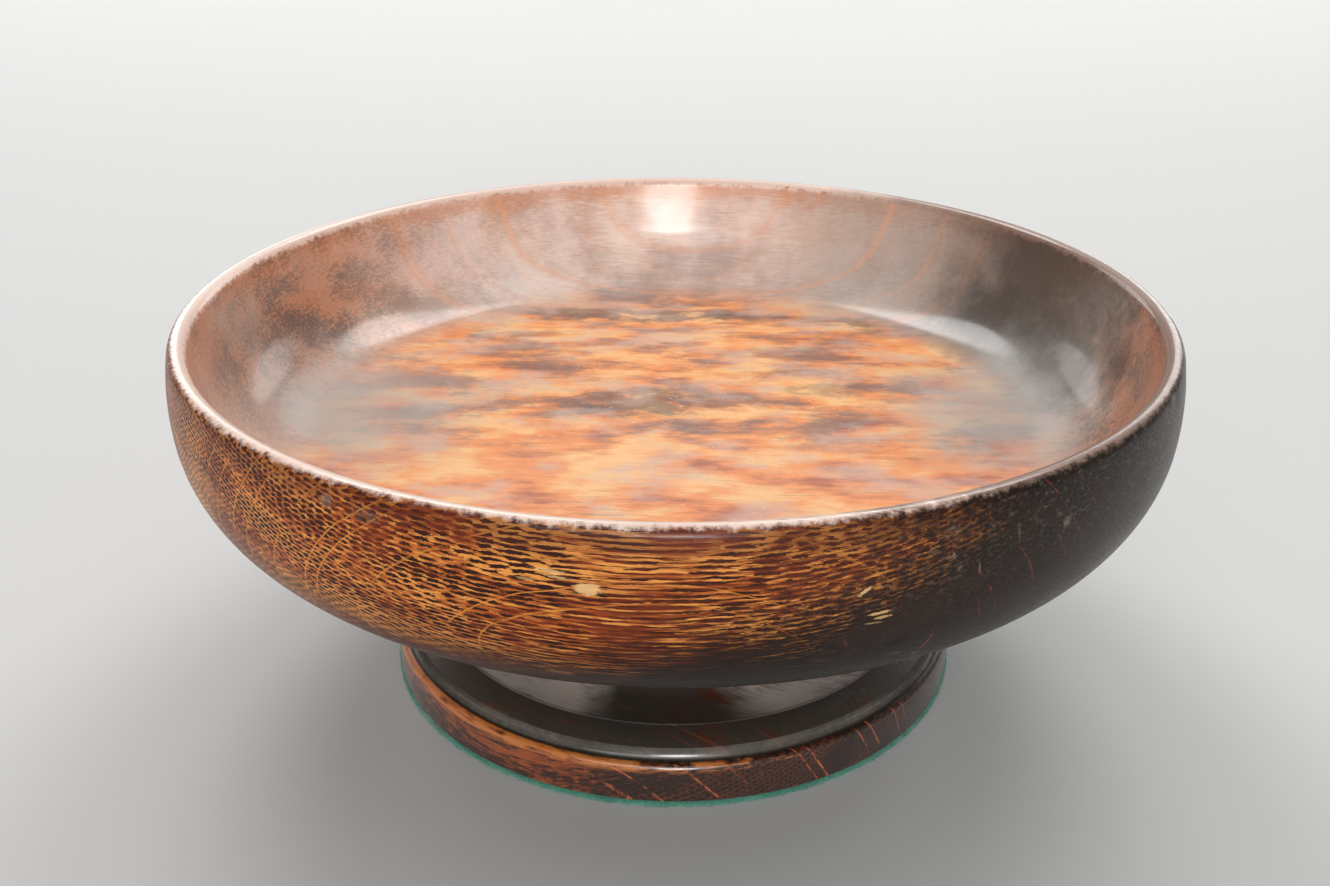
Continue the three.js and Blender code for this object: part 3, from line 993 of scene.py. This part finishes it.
def baize_finish():
    g = Graph("baize")
    mm = g.scaled(g.node("TexCoord").outputs["Object"], 1 / MM)
    fluff = g.noise(g.scaled(mm, 1 / 0.5), 5, 0.7, 0.6)
    matted = g.noise(g.scaled(mm, 1 / 9), 3, 0.6)
    green = g.mix(g.step(fluff, -0.2, 0.2), paint(40, 110, 90), paint(96, 178, 152))
    green = g.lay(green, g.step(matted, -0.12, 0.26), 0.55, paint(120, 190, 168))
    return g.finish(
        base_color=green,
        roughness=0.95,
        normal=g.bump(fluff, 0.5),
        sheen_weight=0.4,
        sheen_roughness=0.5,
        specular_ior_level=0.2,
    )


def beech_finish():
    g = Graph("dowel_beech")
    mm = g.scaled(g.node("TexCoord").outputs["Object"], 1 / MM)
    x, y, z = g.parts(mm)
    fibres = g.fleck((x, y, z), (0.4, 0.4, 9), 4, 0.6)
    rings = g.math("SINE", g.add(g.times(x, 3.1), g.times(g.noise(g.scaled(mm, 1 / 5)), 3)))
    flecks = g.step(g.fleck((x, y, z), (0.7, 0.15, 2)), 0.1, 0.2)
    wood = g.mix(g.step(fibres, -0.2, 0.25), paint(214, 170, 122), paint(190, 140, 94))
    wood = g.lay(wood, g.spread(rings, 0.5, 1), 0.3, paint(176, 124, 82))
    wood = g.lay(wood, flecks, 0.5, paint(150, 98, 62))
    return g.finish(base_color=wood, roughness=g.add(0.6, g.times(fibres, 0.2)), normal=g.bump(fibres, 0.06))


def steel_finish():
    g = Graph("screw_steel")
    mm = g.scaled(g.node("TexCoord").outputs["Object"], 1 / MM)
    drawn = g.noise(g.scaled(mm, 1 / 0.25), 3, 0.6)
    dull = g.noise(g.scaled(mm, 1 / 2.2), 4, 0.65)
    metal = g.mix(g.step(dull, -0.05, 0.2), paint(168, 165, 160), paint(118, 108, 98))
    metal = g.mix(g.step(dull, 0.14, 0.26), metal, paint(104, 66, 44))
    roughness = g.add(0.38, g.times(dull, 0.3), g.times(drawn, 0.15))
    return g.finish(base_color=metal, metallic=1.0, roughness=roughness, normal=g.bump(drawn, 0.02))


# Pieces


def bowl_piece():
    outline = bowl_outline()
    piece = turned("turned_bowl", outline, BOWL_SEGMENTS)
    bore(piece)
    shelve(piece, outline)
    smooth(piece)
    wear(piece)
    return piece


def foot_piece():
    piece = turned("turned_foot", foot_outline(), FOOT_SEGMENTS)
    bore(piece)
    smooth(piece)
    return piece


def baize_piece():
    low, high = millimetres("baize_pad")
    radius, top = high.x, high.z
    rounding = (top - low.z) / 2
    outline = [(0, low.z), *arc((radius - rounding, low.z + rounding), rounding, -90, 90), (0, top)]
    piece = turned("baize_disc", filled(outline, FLAT_STEP_LENGTH), FOOT_SEGMENTS)
    smooth(piece)
    return piece


def baize_fluff():
    """Short blades of wool that stick out round the edge of the baize."""
    rng = np.random.default_rng(RANDOM_SEED)
    low, high = millimetres("baize_pad")
    points, faces = [], []
    for _ in range(FLUFF_BLADES):
        turn = rng.uniform(0, 2 * math.pi)
        out = Vector((math.sin(turn), -math.cos(turn), 0))
        side = Vector((math.cos(turn), math.sin(turn), 0))
        root = out * (high.x - FLUFF_WIDTH) + Vector((0, 0, rng.uniform(low.z + FLUFF_WIDTH, high.z)))
        length = rng.uniform(*FLUFF_LENGTH)
        tip = root + out * length + side * rng.normal(0, length)
        tip += Vector((0, 0, rng.normal(*FLUFF_DROOP) * length))
        tip.z = min(max(tip.z, low.z), high.z)
        bend = (root + tip) / 2 + Vector((0, 0, rng.uniform(0, FLUFF_WIDTH)))
        lift = Vector((0, 0, FLUFF_WIDTH / 2))
        first = len(points)
        points += [root - side * FLUFF_WIDTH / 2, root + side * FLUFF_WIDTH / 2, root + lift]
        half = side * FLUFF_WIDTH / 3
        points += [bend - half, bend + half, bend + lift * FLUFF_BEND_SHARE, tip]
        for near, far in ((0, 1), (1, 2), (2, 0)):
            faces.append((first + near, first + far, first + 3 + far, first + 3 + near))
            faces.append((first + 3 + near, first + 3 + far, first + 6))
    mesh = bpy.data.meshes.new("baize_fluff")
    mesh.from_pydata([point * MM for point in points], [], faces)
    mesh.update()
    piece = bpy.data.objects.new("baize_fluff", mesh)
    bpy.context.scene.collection.objects.link(piece)
    return piece


def place_pieces():
    pieces = (
        (bowl_piece(), "bowl", "bowl_oak", bowl_finish()),
        (foot_piece(), "foot", "foot_oak", foot_finish()),
        (baize_piece(), "baize_pad", "baize", baize_finish()),
    )
    for piece, node, slot, finish in pieces:
        piece.data.materials.clear()
        piece.data.materials.append(finish)
        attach(piece, "root")
        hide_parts(node)
    baize = pieces[2][0]
    fluff = baize_fluff()
    fluff.data.materials.append(baize.data.materials[0])
    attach(fluff, "root")
    beech, steel = beech_finish(), steel_finish()
    for name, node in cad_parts.items():
        if name == "centring_dowel":
            finish = beech
        elif name.startswith("foot_screw_"):
            finish = steel
        else:
            continue
        for material_slot in node.material_slots:
            material_slot.material = finish


# Studio

FLOOR_RADIUS = 9
FLOOR_SEGMENTS = 96
WORLD_STRENGTH = 0.22


def floor_finish():
    g = Graph("studio_floor")
    place = g.node("TexCoord").outputs["Object"]
    shade = g.noise(g.scaled(place, 3), 4, 0.6)
    g.finish(
        base_color=g.mix(g.spread(g.add(shade, 0.5), 0, 0.3), paint(214, 213, 211), paint(205, 204, 202)),
        roughness=0.9,
        specular_ior_level=0.1,
    )
    # Seen from below, the floor is clear and lets light reach what stands on it
    path = g.node("LightPath").outputs
    seen = g.times(path["Is Camera Ray"], g.node("NewGeometry").outputs["Backfacing"])
    seen = g.both(seen, g.math("LESS_THAN", path["Ray Length"], UNDERSIDE_LIGHT * MM))
    clear = g.node("BsdfTransparent").outputs["BSDF"]
    mixed = g.node("MixShader", {"Fac": seen})
    g.feed(mixed.inputs[1], g.shader.outputs["BSDF"])
    g.feed(mixed.inputs[2], clear)
    g.feed(g.tree.nodes["Material Output"].inputs["Surface"], mixed.outputs[0])
    return g.material


def studio():
    mesh = bpy.data.meshes.new("studio_floor")
    floor = bpy.data.objects.new("studio_floor", mesh)
    bpy.context.scene.collection.objects.link(floor)
    shape = bmesh.new()
    bmesh.ops.create_circle(shape, cap_ends=True, segments=FLOOR_SEGMENTS, radius=FLOOR_RADIUS)
    shape.to_mesh(mesh)
    shape.free()
    mesh.materials.append(floor_finish())

    world = bpy.data.worlds.new("studio")
    world.use_nodes = True
    bpy.context.scene.world = world
    background = world.node_tree.nodes["Background"]
    background.inputs["Color"].default_value = paint(232, 234, 236)
    background.inputs["Strength"].default_value = WORLD_STRENGTH


# Lamps: direction from the front (the right is 90), height in degrees, distance and size in metres,
# and the brightness of the lamp's face
LAMPS = (
    ("left_strip", -155, 49, 3, (1.5, 0.8), 9.5),
    ("right_strip", 154, 49, 3, (1.7, 0.8), 8),
    ("left_back_softbox", -150, 20, 3.2, (1.5, 0.9), 3),
    ("right_back_softbox", 150, 20, 3.2, (1.5, 0.9), 3),
    ("left_low_softbox", -152, 7, 3.2, (1.4, 0.5), 3.5),
    ("right_low_softbox", 152, 7, 3.2, (1.4, 0.5), 3.5),
    ("back_softbox", 180, 34, 3.2, (2.2, 1.1), 1.2),
    ("ceiling_softbox", 0, 88, 2.4, (2.6, 2.6), 0.65),
    ("front_softbox", -8, 30, 2.6, (2.4, 1.2), 2.2),
    ("front_lamp", 2, 16, 2.4, (0.62, 0.74), 18),
)
LAMP_TARGET = (0, 0, 0.08)


def softbox(name, way, height, distance, size, brightness):
    turn, rise = math.radians(way), math.radians(height)
    out = Vector((math.sin(turn) * math.cos(rise), -math.cos(turn) * math.cos(rise), math.sin(rise)))
    data = bpy.data.lights.new(name, "AREA")
    data.shape = "ELLIPSE"
    data.size, data.size_y = size
    data.energy = brightness * math.pi * (math.pi / 4 * size[0] * size[1])
    lamp = bpy.data.objects.new(name, data)
    lamp.location = Vector(LAMP_TARGET) + out * distance
    lamp.rotation_euler = out.to_track_quat("Z", "Y").to_euler()
    lamp.visible_camera = False
    bpy.context.scene.collection.objects.link(lamp)


def lights():
    for lamp in LAMPS:
        softbox(*lamp)


def swung(first, second, angle):
    """Two directions turned by an angle in their own plane."""
    cosine, sine = math.cos(angle), math.sin(angle)
    return first * cosine - second * sine, first * sine + second * cosine


def camera():
    """The camera looks at the axis just over the table, and is then panned, tilted and rolled."""
    elevation = math.radians(CAMERA_ELEVATION)
    pan, tilt, roll = (math.radians(angle) for angle in (CAMERA_PAN, CAMERA_TILT, CAMERA_ROLL))
    ahead = Vector((0, math.cos(elevation), -math.sin(elevation)))
    place = Vector((0, 0, CAMERA_AIM * MM)) - ahead * CAMERA_DISTANCE * MM
    right = Vector((1, 0, 0))
    up = right.cross(ahead)
    right, ahead = swung(right, ahead, pan)
    up, ahead = swung(up, ahead, tilt)
    right, up = swung(right, up, roll)
    data = bpy.data.cameras.new("photo_camera")
    data.sensor_width = SENSOR_WIDTH
    data.lens = FOCAL_PIXELS / PHOTO_WIDTH * SENSOR_WIDTH
    data.clip_start = NEAREST_SEEN
    eye = bpy.data.objects.new("photo_camera", data)
    turn = Matrix((right, up, -ahead)).transposed()
    eye.matrix_world = Matrix.Translation(place) @ turn.to_4x4()
    bpy.context.scene.collection.objects.link(eye)
    bpy.context.scene.camera = eye


camera()
place_pieces()
studio()
lights()

bpy.context.scene.view_settings.view_transform = "Standard"
